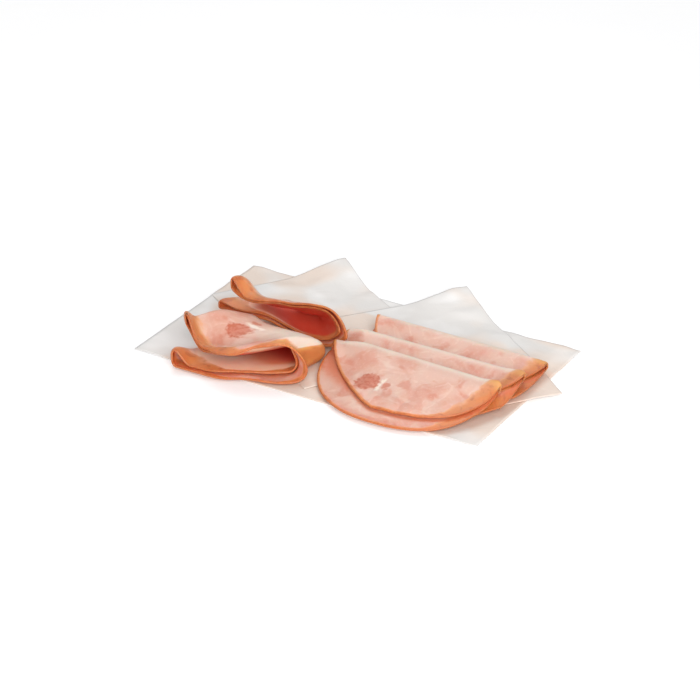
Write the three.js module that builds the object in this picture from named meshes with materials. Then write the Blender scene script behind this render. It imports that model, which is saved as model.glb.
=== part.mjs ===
// Slices of cooked ham, each folded over, laid out on overlapping sheets of deli paper.
// Millimetres, +Z up. Three slices on the right are folded once and lie like shingles. Two slices
// on the left are folded twice, and their second bend stands open towards the front.
// The layout is drawn about its own middle; the whole is moved onto its box's bottom centre last.
import * as THREE from "three";

// ---------- Driving dimensions ----------
const SLICE_THICKNESS = 1.3;
const PAPER_THICKNESS = 0.3;
const CLEARANCE = 0.4; // between faces that lie on each other
const DRAPE_CLEARANCE = 0.8; // under a slice that comes down over another's edge
const LAYER_PITCH = SLICE_THICKNESS + CLEARANCE; // middle of one lying layer to the next
const SHEET_PITCH = PAPER_THICKNESS + CLEARANCE;
const DRAPE_PITCH = SLICE_THICKNESS + DRAPE_CLEARANCE;
const DRAPE_SPREAD = 22; // how far past a slice's edge the slice above takes to come down
const COLUMN_END = 0.985; // share of the half crease where the blunt ends are cut

const degrees = Math.PI / 180;
const { lerp, smoothstep } = THREE.MathUtils;

// ---------- Deli paper ----------
// corner: the back corner. heading: the way its first edge runs. size: along and across that edge.
// lift: how far the back corner stands up, over lift_reach from it. edge_wander: how far its edges
// leave a straight line.
const SHEETS = [
  {
    name: "deli_sheet_under",
    corner: [-127, 78],
    heading: 0,
    size: [254, 146],
    lift: 0,
    lift_reach: 30,
    edge_wander: 0,
  },
  {
    name: "deli_sheet_left",
    corner: [-70, 108],
    heading: -34,
    size: [150, 100],
    lift: 7,
    lift_reach: 46,
    edge_wander: 1.2,
  },
  {
    name: "deli_sheet_right",
    corner: [24, 112],
    heading: -38,
    size: [152, 112],
    lift: 6,
    lift_reach: 50,
    edge_wander: 1.0,
  },
];
const SHEET_STEPS = 12;
const WANDER_TURNS = [0.05, 0.08]; // radians of the edges' wave per mm, along and across
const HAM_FLOOR = SHEETS.length * SHEET_PITCH + SLICE_THICKNESS / 2; // middle of the lowest layer

// ---------- Ham slices ----------
// half_crease: half the length of the first fold. lower, upper: the two layers' depth from that
// fold, the squareness of the outline at each end (2 is round, less is pointed), and how much a lobe
// widens it there.
// lean: how far a layer's rim is shifted along the fold. loop: radius of the fold.
// end_loop: how much looser the fold is at each end. end_round: radius of the corner there.
// end_lift: how far a flat slice's end stands up.
// rim_gap: between the layers' middles at the rim, reached over closing behind the fold.
const NO_LOBES = [0, 0];
const FLAT_SLICES = [
  {
    name: "ham_slice_right_back",
    middle: [59.5, 39.6],
    turn: -1.5,
    half_crease: 64,
    lower: { depth: 76, ends: [2.1, 3.0], lobes: NO_LOBES, lean: 9 },
    upper: { depth: 57, ends: [1.6, 2.2], lobes: NO_LOBES, lean: 0 },
    loop: 4,
    end_loop: [0, -2.2],
    end_round: [2.5, 3],
    end_lift: [0, 3],
    rim_gap: LAYER_PITCH,
    closing: 22,
  },
  {
    name: "ham_slice_right_middle",
    middle: [56, 12],
    turn: -0.8,
    half_crease: 66,
    lower: { depth: 66, ends: [2.0, 2.7], lobes: NO_LOBES, lean: 8 },
    upper: { depth: 54, ends: [2.0, 2.2], lobes: NO_LOBES, lean: 0 },
    loop: 3.4,
    end_loop: [0, -1.8],
    end_round: [2.5, 6],
    end_lift: [0, 2],
    rim_gap: LAYER_PITCH,
    closing: 20,
  },
  {
    name: "ham_slice_right_front",
    middle: [54.6, -12],
    turn: -3,
    half_crease: 64,
    lower: { depth: 68, ends: [2.0, 2.5], lobes: NO_LOBES, lean: 0 },
    upper: { depth: 57, ends: [1.3, 2.4], lobes: NO_LOBES, lean: 0 },
    loop: 3.4,
    end_loop: [0, -1.8],
    end_round: [2.5, 6],
    end_lift: [0, 1.6],
    rim_gap: LAYER_PITCH + 0.6,
    closing: 26,
  },
];

// corner: where the bend's outer line starts at the back. heading: the way that line runs to the
// front. bend: the bend's radius at that corner and at the rim. bend_at: where along the fold it
// is, from the fold's middle. bow: how far the bend's outer line bulges. topple: how far the bend
// leans out below its middle and in above it, per mm. rise: how far the slice climbs from the corner
// to the rim. flare_from: how far from the corner the bend starts to open to its radius at the rim.
// lower and upper are its two layers, and also its two arms: slant: how far an arm's fold falls
// back, per mm. levels: how far the arm leaves its even height, at equal steps from the bend to its
// end. droop: how far its rim leaves that, at equal steps too.
const EVEN = [0, 0, 0, 0];
const BENT_SLICES = [
  {
    name: "ham_slice_left_front",
    corner: [-64, -15.5],
    heading: -33,
    bend: [5.5, 12],
    flare_from: 44,
    bend_at: 8,
    bow: 25,
    topple: 0.35,
    rise: 0,
    half_crease: 66,
    lower: {
      depth: 72,
      ends: [1.45, 2.2],
      lobes: [8, 12],
      slant: -0.06,
      levels: EVEN,
      droop: EVEN,
    },
    upper: {
      depth: 61,
      ends: [1.5, 2.3],
      lobes: [6, 12],
      slant: 0.12,
      levels: [0, 5, 9.5, 7, -1.6],
      droop: [0, -4.5, -11, -13.5, -12],
    },
    loop: 1.7,
    end_loop: [4, 2.4],
    end_round: [10, 8],
    rim_gap: LAYER_PITCH + 0.7,
    closing: 14,
  },
  {
    name: "ham_slice_left_back",
    corner: [-46.6, 31.3],
    heading: -41.5,
    bend: [1.8, 11.7],
    flare_from: 0,
    bend_at: 2.4,
    bow: 0,
    topple: 0,
    rise: 3,
    half_crease: 68,
    lower: {
      depth: 64,
      ends: [1.1, 1.1],
      lobes: [8, 16],
      slant: 0.3,
      levels: [0, 0.8, 6.9, 4],
      droop: [0, -1.5, 0, 0],
    },
    upper: {
      depth: 56,
      ends: [1.1, 1.1],
      lobes: [8, 16],
      slant: 0.12,
      levels: [0, -1, -2, -6.5, -8.3, 0.2, 1.2],
      droop: [0, 2, 4.7, 7.5, 8.4, -2.4, -13],
    },
    loop: 1.7,
    end_loop: [0.8, 2.5],
    end_round: [6, 8],
    rim_gap: LAYER_PITCH + 0.5,
    closing: 14,
  },
];
const ROWS = 18; // quads from rim to rim, over both layers
const ROW_CROWDING = 1.6; // above 1 the rows crowd at the crease
const END_COLUMNS = 7; // quads in each end of a slice
const MIDDLE_COLUMNS = 7; // quads round the bend, or across a flat slice's middle
const FLAT_MIDDLE = 20; // half the width of a flat slice's middle
const BOW_PEAK = 0.76; // where a bent slice bulges most, as a share of its upper layer's depth
const BOW_END = 1; // and where its bulge ends
const BOW_REACH = [14, 34]; // from the bend, where the bulge starts to fade and where it ends
const LOBE_FROM = 0.55; // shares of the half crease where an end starts to widen into its lobe,
const LOBE_FULL = 0.85; // and where it has all of it
const LOBE_ROUNDNESS = 6;
const END_FROM = 0.68; // share of the half crease where an end's fold starts to loosen or tighten

// ---------- Closed thin bodies ----------
// A grid of points, given its thickness along the normals of the grid, closed round its border.
function thinBody(point, columns, rows, thickness) {
  const at = (i, j) => i * (rows + 1) + j;
  const middle = [];
  for (let i = 0; i <= columns; i++)
    for (let j = 0; j <= rows; j++) middle.push(point(i, j));
  const clampI = (i) => Math.min(Math.max(i, 0), columns);
  const clampJ = (j) => Math.min(Math.max(j, 0), rows);
  const positions = [];
  for (const side of [1, -1])
    for (let i = 0; i <= columns; i++)
      for (let j = 0; j <= rows; j++) {
        const along = middle[at(clampI(i + 1), j)].clone().sub(middle[at(clampI(i - 1), j)]);
        const across = middle[at(i, clampJ(j + 1))].clone().sub(middle[at(i, clampJ(j - 1))]);
        const normal = along.cross(across).normalize();
        positions.push(...middle[at(i, j)].clone().addScaledVector(normal, (side * thickness) / 2));
      }
  const below = middle.length;
  const index = [];
  for (let i = 0; i < columns; i++)
    for (let j = 0; j < rows; j++) {
      const [a, b, c, d] = [at(i, j), at(i + 1, j), at(i + 1, j + 1), at(i, j + 1)];
      index.push(a, b, c, a, c, d);
      index.push(below + a, below + c, below + b, below + a, below + d, below + c);
    }
  const border = [];
  for (let i = 0; i < columns; i++) border.push(at(i, 0));
  for (let j = 0; j < rows; j++) border.push(at(columns, j));
  for (let i = columns; i > 0; i--) border.push(at(i, rows));
  for (let j = rows; j > 0; j--) border.push(at(0, j));
  border.forEach((a, k) => {
    const b = border[(k + 1) % border.length];
    index.push(a, below + a, below + b, a, below + b, b);
  });
  const geometry = new THREE.BufferGeometry();
  geometry.setAttribute("position", new THREE.Float32BufferAttribute(positions, 3));
  geometry.setIndex(index);
  geometry.computeVertexNormals();
  return geometry;
}

// ---------- Paper ----------
function sheetGeometry(sheet, level) {
  const [length, width] = sheet.size;
  const away = new THREE.Vector2(1, 0).rotateAround(new THREE.Vector2(), sheet.heading * degrees);
  const near = new THREE.Vector2(away.y, -away.x);
  const point = (i, j) => {
    const u = (i / SHEET_STEPS) * length;
    const v = (j / SHEET_STEPS) * width;
    const wander = sheet.edge_wander * Math.sin(WANDER_TURNS[0] * u + WANDER_TURNS[1] * v);
    const rise = sheet.lift * (1 - smoothstep(Math.hypot(u, v), 0, sheet.lift_reach));
    return new THREE.Vector3(
      sheet.corner[0] + u * away.x + (v + wander) * near.x,
      sheet.corner[1] + u * away.y + (v + wander) * near.y,
      level + PAPER_THICKNESS / 2 + rise,
    );
  };
  return thinBody((i, j) => point(i, SHEET_STEPS - j), SHEET_STEPS, SHEET_STEPS, PAPER_THICKNESS);
}

// ---------- Folds ----------
// A line that comes in, turns round a half circle and goes back. distance is measured along it from
// the middle of the turn: along is how far it is behind the turn, across how far to its side.
function hairpin(distance, radius) {
  const angle = Math.min(Math.abs(distance) / radius, Math.PI / 2);
  const straight = Math.abs(distance) - angle * radius;
  return {
    along: radius * (1 - Math.cos(angle)) + straight,
    across: Math.sign(distance) * radius * Math.sin(angle),
    angle: Math.sign(distance) * angle,
  };
}

// A smooth line through evenly spaced values, at a share of the way along them.
function throughPoints(values, share) {
  const last = values.length - 1;
  const place = Math.min(Math.max(share, 0), 1) * last;
  const k = Math.min(Math.floor(place), last - 1);
  const f = place - k;
  const [from, to] = [values[k], values[k + 1]];
  const before = values[Math.max(k - 1, 0)];
  const after = values[k + 2] ?? 2 * to - from;
  const [startSlope, endSlope] = [(to - before) / 2, (after - from) / 2];
  const eased = f * f * (3 - 2 * f);
  return lerp(from, to, eased) + f * (1 - f) * ((1 - f) * startSlope - f * endSlope);
}

// How much of its end's own form a slice has, at a place along its crease, and which end is nearer.
function nearEnd(slice, s) {
  return { near: smoothstep(Math.abs(s) / slice.half_crease, END_FROM, 1), side: s < 0 ? 0 : 1 };
}

// Radius of the fold, at a place along it.
function loopRadius(slice, s) {
  const { near, side } = nearEnd(slice, s);
  return slice.loop + slice.end_loop[side] * near;
}

// How far the fold falls back from its straight line, where its corner is rounded.
function cornerFall(slice, s) {
  const radius = slice.end_round[s < 0 ? 0 : 1];
  const into = Math.min(Math.max(Math.abs(s) - slice.half_crease + radius, 0), radius);
  return radius - Math.sqrt(radius ** 2 - into ** 2);
}

// Half the space between the two layers' middles, at a distance behind the fold.
function halfGap(slice, s, along) {
  const loop = loopRadius(slice, s);
  return lerp(loop, slice.rim_gap / 2, smoothstep(along, loop, loop + slice.closing));
}

// The outline's depth from the crease, where share runs from -1 to 1 along it.
function outlineDepth(layer, share) {
  const side = share < 0 ? 0 : 1;
  const away = Math.abs(share);
  const lobe = smoothstep(away, LOBE_FROM, LOBE_FULL) * Math.sqrt(1 - away ** LOBE_ROUNDNESS);
  const body = (1 - away ** layer.ends[side]) ** (1 / layer.ends[side]);
  return layer.depth * body + layer.lobes[side] * lobe;
}

// How far a place is outside a slice's outline, where s and t are along and behind its crease.
function outsideOutline(slice, s, t) {
  const reach = Math.hypot(s / slice.half_crease, t / slice.lower.depth);
  return Math.max(-t, (reach - 1) * slice.lower.depth);
}

// Height of a layer's middle that lies at (x, y) on the paper and on whatever slices are beneath it.
function restHeight(x, y, beneath) {
  let height = HAM_FLOOR;
  for (const lower of beneath) {
    const cover = 1 - smoothstep(lower.outside(x, y), 0, DRAPE_SPREAD);
    height = Math.max(height, lerp(HAM_FLOOR, lower.top(x, y) + DRAPE_PITCH, cover));
  }
  return height;
}

// ---------- A slice folded once, lying flat ----------
// Its own directions are s along the crease, to the right, and t from the crease to the front.
function flatLay(slice, beneath) {
  const turn = slice.turn * degrees;
  const [cos, sin] = [Math.cos(turn), Math.sin(turn)];
  const [x0, y0] = slice.middle;
  const place = (s, t) => [x0 + s * cos + t * sin, y0 + s * sin - t * cos];
  const local = (x, y) => [
    (x - x0) * cos + (y - y0) * sin,
    (x - x0) * sin - (y - y0) * cos,
  ];
  const lift = (s) => {
    const { near, side } = nearEnd(slice, s);
    return slice.end_lift[side] * near;
  };
  return {
    middle(s, t) {
      const [x, y] = place(s, t + cornerFall(slice, s));
      const z = restHeight(x, y, beneath) + lift(s) + halfGap(slice, s, t);
      return { point: new THREE.Vector3(x, y, z), normal: new THREE.Vector3(0, 0, 1) };
    },
    top(x, y) {
      const [s, t] = local(x, y);
      const gap = 2 * halfGap(slice, s, t - cornerFall(slice, s));
      return restHeight(x, y, beneath) + lift(s) + gap;
    },
    outside(x, y) {
      const [s, t] = local(x, y);
      return outsideOutline(slice, s - slice.lower.lean * (t / slice.lower.depth), t);
    },
    stations: [-FLAT_MIDDLE, FLAT_MIDDLE],
  };
}

// ---------- A slice folded twice ----------
// Its own directions are p across the bend, 0 at the bend's outer line and less towards the arms,
// and a along the bend, from the corner at the back to the rim at the front.
function bentLay(slice) {
  const heading = slice.heading * degrees;
  const forward = new THREE.Vector2(Math.cos(heading), Math.sin(heading));
  const outward = new THREE.Vector2(-forward.y, forward.x);
  const corner = new THREE.Vector2(...slice.corner);
  const [cornerRadius, rimRadius] = slice.bend;
  const opening = (reach) =>
    lerp(cornerRadius, rimRadius, smoothstep(reach, slice.flare_from, slice.upper.depth));
  const climb = (reach) => slice.rise * smoothstep(reach, 0, slice.lower.depth);
  const openShare = (a) => smoothstep(a / slice.upper.depth, 0, BOW_PEAK);
  const bulge = (a) => {
    const share = a / slice.upper.depth;
    return slice.bow * openShare(a) * (1 - smoothstep(share, BOW_PEAK, BOW_END));
  };
  return {
    middle(s, t) {
      const b = s - slice.bend_at;
      const arm = b < 0 ? slice.lower : slice.upper;
      const armLength = slice.half_crease - Math.sign(b) * slice.bend_at;
      const share = Math.abs(b) / armLength;
      const a = t - arm.slant * Math.abs(b);
      const reach = Math.hypot(Math.max(a, 0), b);
      const radius = opening(reach);
      const turn = hairpin(b, radius);
      const bowed = bulge(a) * (1 - smoothstep(Math.abs(b), ...BOW_REACH));
      const p = bowed - turn.along - slice.topple * turn.across * openShare(a);
      const front = a + cornerFall(slice, s);
      const plan = corner.clone().addScaledVector(outward, p).addScaledVector(forward, front);
      const even = HAM_FLOOR + climb(reach) + halfGap(slice, s, t) + radius + turn.across;
      const droop = throughPoints(arm.droop, share) * smoothstep(t, 0, arm.depth / 2);
      const z = even + throughPoints(arm.levels, share) + droop;
      const inward = outward.clone().multiplyScalar(-Math.cos(turn.angle));
      return {
        point: new THREE.Vector3(plan.x, plan.y, z),
        normal: new THREE.Vector3(inward.x, inward.y, -Math.sin(turn.angle)),
      };
    },
    stations: [-1, 1].map((side) => slice.bend_at + side * (Math.PI / 2) * rimRadius),
  };
}

// ---------- The slice's body ----------
// Columns run across the crease: closer at both ends, even in the middle stretch.
function columnPlaces(slice, [from, to]) {
  const end = slice.half_crease * COLUMN_END;
  const places = [];
  for (let k = END_COLUMNS; k > 0; k--)
    places.push(lerp(from, -end, Math.sin((Math.PI / 2) * (k / END_COLUMNS))));
  for (let k = 0; k <= MIDDLE_COLUMNS; k++) places.push(lerp(from, to, k / MIDDLE_COLUMNS));
  for (let k = 1; k <= END_COLUMNS; k++)
    places.push(lerp(to, end, Math.sin((Math.PI / 2) * (k / END_COLUMNS))));
  return places;
}

function sliceGeometry(slice, lay) {
  const columns = columnPlaces(slice, lay.stations);
  const point = (i, j) => {
    const s = columns[i];
    const share = (2 * j) / ROWS - 1;
    const layer = share < 0 ? slice.lower : slice.upper;
    const depth = outlineDepth(layer, s / slice.half_crease);
    const distance = Math.sign(share) * Math.abs(share) ** ROW_CROWDING * depth;
    const loop = loopRadius(slice, s);
    const fold = hairpin(distance, loop);
    const closing = halfGap(slice, s, fold.along) / loop;
    const leaning = (layer.lean ?? 0) * (Math.abs(distance) / layer.depth);
    const { point: at, normal } = lay.middle(s + leaning, fold.along);
    return at.addScaledVector(normal, fold.across * closing);
  };
  return thinBody(point, columns.length - 1, ROWS, SLICE_THICKNESS);
}

// ---------- Assembly ----------
const paper = new THREE.MeshStandardMaterial({ color: "#eeebe6", roughness: 0.75, metalness: 0 });
const ham = new THREE.MeshStandardMaterial({ color: "#e3a593", roughness: 0.45, metalness: 0 });

function named(name, geometry, material) {
  const mesh = new THREE.Mesh(geometry, material);
  mesh.name = name;
  return mesh;
}

const layout = new THREE.Group();
SHEETS.forEach((sheet, k) => {
  layout.add(named(sheet.name, sheetGeometry(sheet, k * SHEET_PITCH), paper));
});
const beneath = [];
for (const slice of FLAT_SLICES) {
  const lay = flatLay(slice, [...beneath]);
  layout.add(named(slice.name, sliceGeometry(slice, lay), ham));
  beneath.push(lay);
}
for (const slice of BENT_SLICES) {
  layout.add(named(slice.name, sliceGeometry(slice, bentLay(slice)), ham));
}

const box = new THREE.Box3().setFromObject(layout, true);
const centre = box.getCenter(new THREE.Vector3());
layout.position.set(-centre.x, -centre.y, -box.min.z);

const pack = new THREE.Group();
pack.add(layout);
export default pack;
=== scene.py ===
"""Slices of cooked ham, folded and laid out on overlapping sheets of deli paper.

Every size in the classes below is in millimetres, as on a drawing. Meshes are made in metres.
The layout is drawn about its own middle and is then moved to where the frame has it.
"""

import logging
import math
from dataclasses import dataclass, field
from enum import Enum
from typing import Any

import bpy
import numpy as np
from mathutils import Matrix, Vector


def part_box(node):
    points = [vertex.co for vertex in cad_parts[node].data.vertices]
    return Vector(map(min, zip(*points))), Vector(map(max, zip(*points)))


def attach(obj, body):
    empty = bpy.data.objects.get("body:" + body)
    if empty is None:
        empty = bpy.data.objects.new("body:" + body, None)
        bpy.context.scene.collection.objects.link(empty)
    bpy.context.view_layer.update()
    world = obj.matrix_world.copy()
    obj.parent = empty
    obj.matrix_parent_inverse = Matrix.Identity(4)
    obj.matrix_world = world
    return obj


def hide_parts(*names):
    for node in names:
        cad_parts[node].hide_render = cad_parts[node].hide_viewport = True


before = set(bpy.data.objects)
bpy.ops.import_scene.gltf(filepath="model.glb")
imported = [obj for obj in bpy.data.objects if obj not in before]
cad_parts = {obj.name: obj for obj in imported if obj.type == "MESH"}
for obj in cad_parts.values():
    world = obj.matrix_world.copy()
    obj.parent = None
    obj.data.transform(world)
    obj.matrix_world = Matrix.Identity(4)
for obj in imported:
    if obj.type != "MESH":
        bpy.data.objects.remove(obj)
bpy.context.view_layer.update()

log = logging.getLogger("ham_on_paper")

MM = 0.001
BODY = "root"
Array = np.ndarray
Levels = tuple[float, ...]
EVEN: Levels = (0.0, 0.0, 0.0, 0.0)

# ---------- Sizes that the pieces share ----------
SLICE_THICKNESS = 1.3
PAPER_THICKNESS = 0.3
CLEARANCE = 0.4
DRAPE_CLEARANCE = 0.8
LAYER_PITCH = SLICE_THICKNESS + CLEARANCE
SHEET_PITCH = PAPER_THICKNESS + CLEARANCE
DRAPE_PITCH = SLICE_THICKNESS + DRAPE_CLEARANCE
DRAPE_SPREAD = 22.0
SHEET_COUNT = 3
HAM_FLOOR = SHEET_COUNT * SHEET_PITCH + SLICE_THICKNESS / 2
LOBE_FROM = 0.55  # shares of the half crease where an end starts to widen into its lobe,
LOBE_FULL = 0.85  # and where it has all of it
LOBE_ROUNDNESS = 6
NO_LOBES = (0.0, 0.0)
BOW_PEAK = 0.76  # where a bent slice bulges most, as a share of its upper layer's depth
BOW_END = 1.0  # and where its bulge ends
BOW_REACH = (14.0, 34.0)  # from the bend, where the bulge starts to fade and where it ends
END_FROM = 0.68  # share of the half crease where an end's fold starts to loosen or tighten
UV_SPAN = 100.0  # millimetres of flat slice that one UV unit covers
TINY = 1e-9  # keeps a length that something is divided by away from zero
FINE_STEPS = 2001  # points of an outline before they are spaced evenly
WELD = 0.001  # how near points of the paper are when they are the same point
NEAREST_PARTS = 12  # in how many parts the ham's points are read, to keep memory small
PLAN_STRIDE = 37  # every how many points of the ham the paper looks at


class Mark(Enum):
    """Numbers that a mesh keeps at each of its points, for its finish to read."""

    RIM_MM = "rim_mm"  # how far the rim is
    RIND = "rind"  # the same as a share of the rind's width
    # painted highlight along the top of a fold
    PAINTED_HIGHLIGHT = "painted_highlight"
    # painted glow of light through the meat, inside a bend
    GLOW = "glow"
    # painted shadow under the upper layer's rim
    RIM_SHADOW = "rim_shadow"
    # painted shade between a fold's layers and deep inside a bend
    FOLD_SHADE = "deep"
    # warmer near the ham: grease and a painted reflection of the ham
    WARM = "warm"
    # right beside the ham: grease and a painted reflection of the ham
    OILY_GLOW = "oily_glow"


# ---------- Shape arithmetic ----------
def smoothstep(value: Array | float, low: float, high: float) -> Array:
    """Eased share of the way from low to high.

    Args:
        value: What is measured.
        low: Where the share is 0.
        high: Where the share is 1.

    Returns:
        The share, from 0 to 1.
    """
    share = np.clip((np.asarray(value, float) - low) / (high - low), 0.0, 1.0)
    return share * share * (3.0 - 2.0 * share)


def band(value: Array, edges: tuple[float, float, float, float]) -> Array:
    """The share of a band that starts and is full at two edges, and fades between two more."""
    return smoothstep(value, *edges[:2]) * (1.0 - smoothstep(value, *edges[2:]))


def between(low: Any, high: Any, share: Any) -> Any:
    """The value at a share of the way from low to high."""
    return low + (high - low) * share


def hairpin(distance: Array, radius: Array | float) -> tuple[Array, Array, Array]:
    """A line that comes in, turns round a half circle and goes back.

    Args:
        distance: Measured along the line from the middle of its turn.
        radius: Radius of the turn.

    Returns:
        How far each point is behind the turn, how far to its side, and the turn's angle there.
    """
    angle = np.minimum(np.abs(distance) / radius, math.pi / 2)
    straight = np.abs(distance) - angle * radius
    along = radius * (1.0 - np.cos(angle)) + straight
    return along, np.sign(distance) * radius * np.sin(angle), np.sign(distance) * angle


def through_points(values: Levels, share: Array) -> Array:
    """A smooth line through evenly spaced values.

    Args:
        values: The values that the line passes.
        share: How far along the values, from 0 to 1.

    Returns:
        The line's height at each share.
    """
    last = len(values) - 1
    place = np.clip(share, 0.0, 1.0) * last
    k = np.minimum(np.floor(place).astype(int), last - 1)
    f = place - k
    padded = np.array([values[0], *values, 2 * values[-1] - values[-2]])
    before, start, end, after = (padded[k + n] for n in range(4))
    eased = f * f * (3.0 - 2.0 * f)
    slopes = (1.0 - f) * (end - before) / 2 - f * (after - start) / 2
    return between(start, end, eased) + f * (1.0 - f) * slopes


# ---------- Node trees ----------
class Graph:
    """Adds nodes to a tree, with their settings and inputs given in one call."""

    def __init__(self, tree: bpy.types.NodeTree) -> None:
        """Starts from an empty tree."""
        self.tree = tree
        tree.nodes.clear()

    def node(self, kind: str, inputs: dict[Any, Any] | None = None, **settings: Any) -> Any:
        """Adds a node.

        Args:
            kind: Blender's type name.
            inputs: Values or sockets, by the input's name or number.
            **settings: The node's own settings.

        Returns:
            The node.
        """
        made = self.tree.nodes.new(kind)
        for name, value in settings.items():
            setattr(made, name, value)
        for key, value in (inputs or {}).items():
            if isinstance(value, bpy.types.NodeSocket):
                self.tree.links.new(value, made.inputs[key])
            else:
                made.inputs[key].default_value = value
        return made

    def math(self, operation: str, a: Any, b: Any = 0.0) -> Any:
        """The result socket of one sum on two numbers."""
        kind = "ShaderNodeMath"
        return self.node(kind, {0: a, 1: b}, operation=operation).outputs[0]

    def spread(self, value: Any, low: float, high: float, to: tuple[float, float] = (0, 1)) -> Any:
        """Maps a number from one range onto another, eased at both ends.

        Args:
            value: The number's socket.
            low: Where the result is to[0].
            high: Where the result is to[1].
            to: The range of the result.

        Returns:
            The result socket.
        """
        inputs = {0: value, 1: low, 2: high, 3: to[0], 4: to[1]}
        made = self.node("ShaderNodeMapRange", inputs, interpolation_type="SMOOTHSTEP")
        return made.outputs[0]

    def mix(self, share: Any, first: Any, second: Any) -> Any:
        """The colour socket of two colours mixed, with the given share of the second."""
        made = self.node("ShaderNodeMix", {0: share, 6: first, 7: second}, data_type="RGBA")
        return made.outputs[2]

    def scaled(self, value: Any, factor: Any) -> Any:
        """The result socket of a number times another."""
        return self.math("MULTIPLY", value, factor)

    def hypotenuse(self, a: Any, b: Any) -> Any:
        """The result socket of the length that two square sides give."""
        return self.math("SQRT", self.math("ADD", self.scaled(a, a), self.scaled(b, b)))

    def noise(self, vector: Any, scale: float, detail: float = 3.0, distortion: float = 0.0) -> Any:
        """The grey result of a noise texture.

        Args:
            vector: Where it is read.
            scale: How many features to a unit.
            detail: How many finer octaves.
            distortion: How far it is stirred.

        Returns:
            The result socket.
        """
        inputs = {"Vector": vector, "Scale": scale, "Detail": detail, "Distortion": distortion}
        return self.node("ShaderNodeTexNoise", inputs).outputs[0]

    def vector(self, operation: str, a: Any, b: Any = (0.0, 0.0, 0.0)) -> Any:
        """The result socket of one sum on two vectors: a number for a length or a distance."""
        made = self.node("ShaderNodeVectorMath", {0: a, 1: b}, operation=operation)
        return made.outputs["Value" if operation in ("LENGTH", "DISTANCE") else "Vector"]

    def attribute(self, mark: Mark) -> Any:
        """The socket of a number that the mesh keeps."""
        return self.node("ShaderNodeAttribute", attribute_name=mark.value).outputs["Fac"]

    def object_place(self) -> Any:
        """The socket of the place on the piece, in metres."""
        return self.node("ShaderNodeTexCoord").outputs["Object"]

    def end_material(self, inputs: dict[str, Any]) -> None:
        """Ends a material's tree with its shader, given the shader's inputs, and its output."""
        shader = self.node("ShaderNodeBsdfPrincipled", inputs)
        self.node("ShaderNodeOutputMaterial", {0: shader.outputs[0]})


def new_material(name: str) -> tuple[bpy.types.Material, Graph]:
    """Starts a material.

    Args:
        name: The material's name.

    Returns:
        The material, and its empty graph.
    """
    made = bpy.data.materials.new(name)
    made.use_nodes = True
    return made, Graph(made.node_tree)


def new_object(name: str, data: Any) -> bpy.types.Object:
    """Puts a mesh, a light or a camera into the scene.

    Args:
        name: The object's name.
        data: What the object shows.

    Returns:
        The object.
    """
    made = bpy.data.objects.new(name, data)
    bpy.context.scene.collection.objects.link(made)
    return made


def mesh_points(mesh: bpy.types.Mesh) -> Array:
    """Where a mesh's points are.

    Args:
        mesh: The mesh.

    Returns:
        The points, in metres, as rows of three.
    """
    points = np.empty(len(mesh.vertices) * 3, np.float32)
    mesh.vertices.foreach_get("co", points)
    return points.reshape(-1, 3)


def keep_numbers(mesh: bpy.types.Mesh, mark: Mark, numbers: Array) -> None:
    """Keeps one number at each point of a mesh.

    Args:
        mesh: The mesh.
        mark: What the numbers are.
        numbers: One for each point, in order.
    """
    kept = mesh.attributes.new(mark.value, "FLOAT", "POINT")
    kept.data.foreach_set("value", numbers.astype(np.float32))


def paint(red: int, green: int, blue: int) -> tuple[float, float, float, float]:
    """Makes a screen colour linear, by the usual sRGB curve.

    Args:
        red: From 0 to 255.
        green: From 0 to 255.
        blue: From 0 to 255.

    Returns:
        The colour, fully opaque.
    """
    shares = (channel / 255 for channel in (red, green, blue))
    linear = (s / 12.92 if s <= 0.04045 else ((s + 0.055) / 1.055) ** 2.4 for s in shares)
    return (*linear, 1.0)


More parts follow.
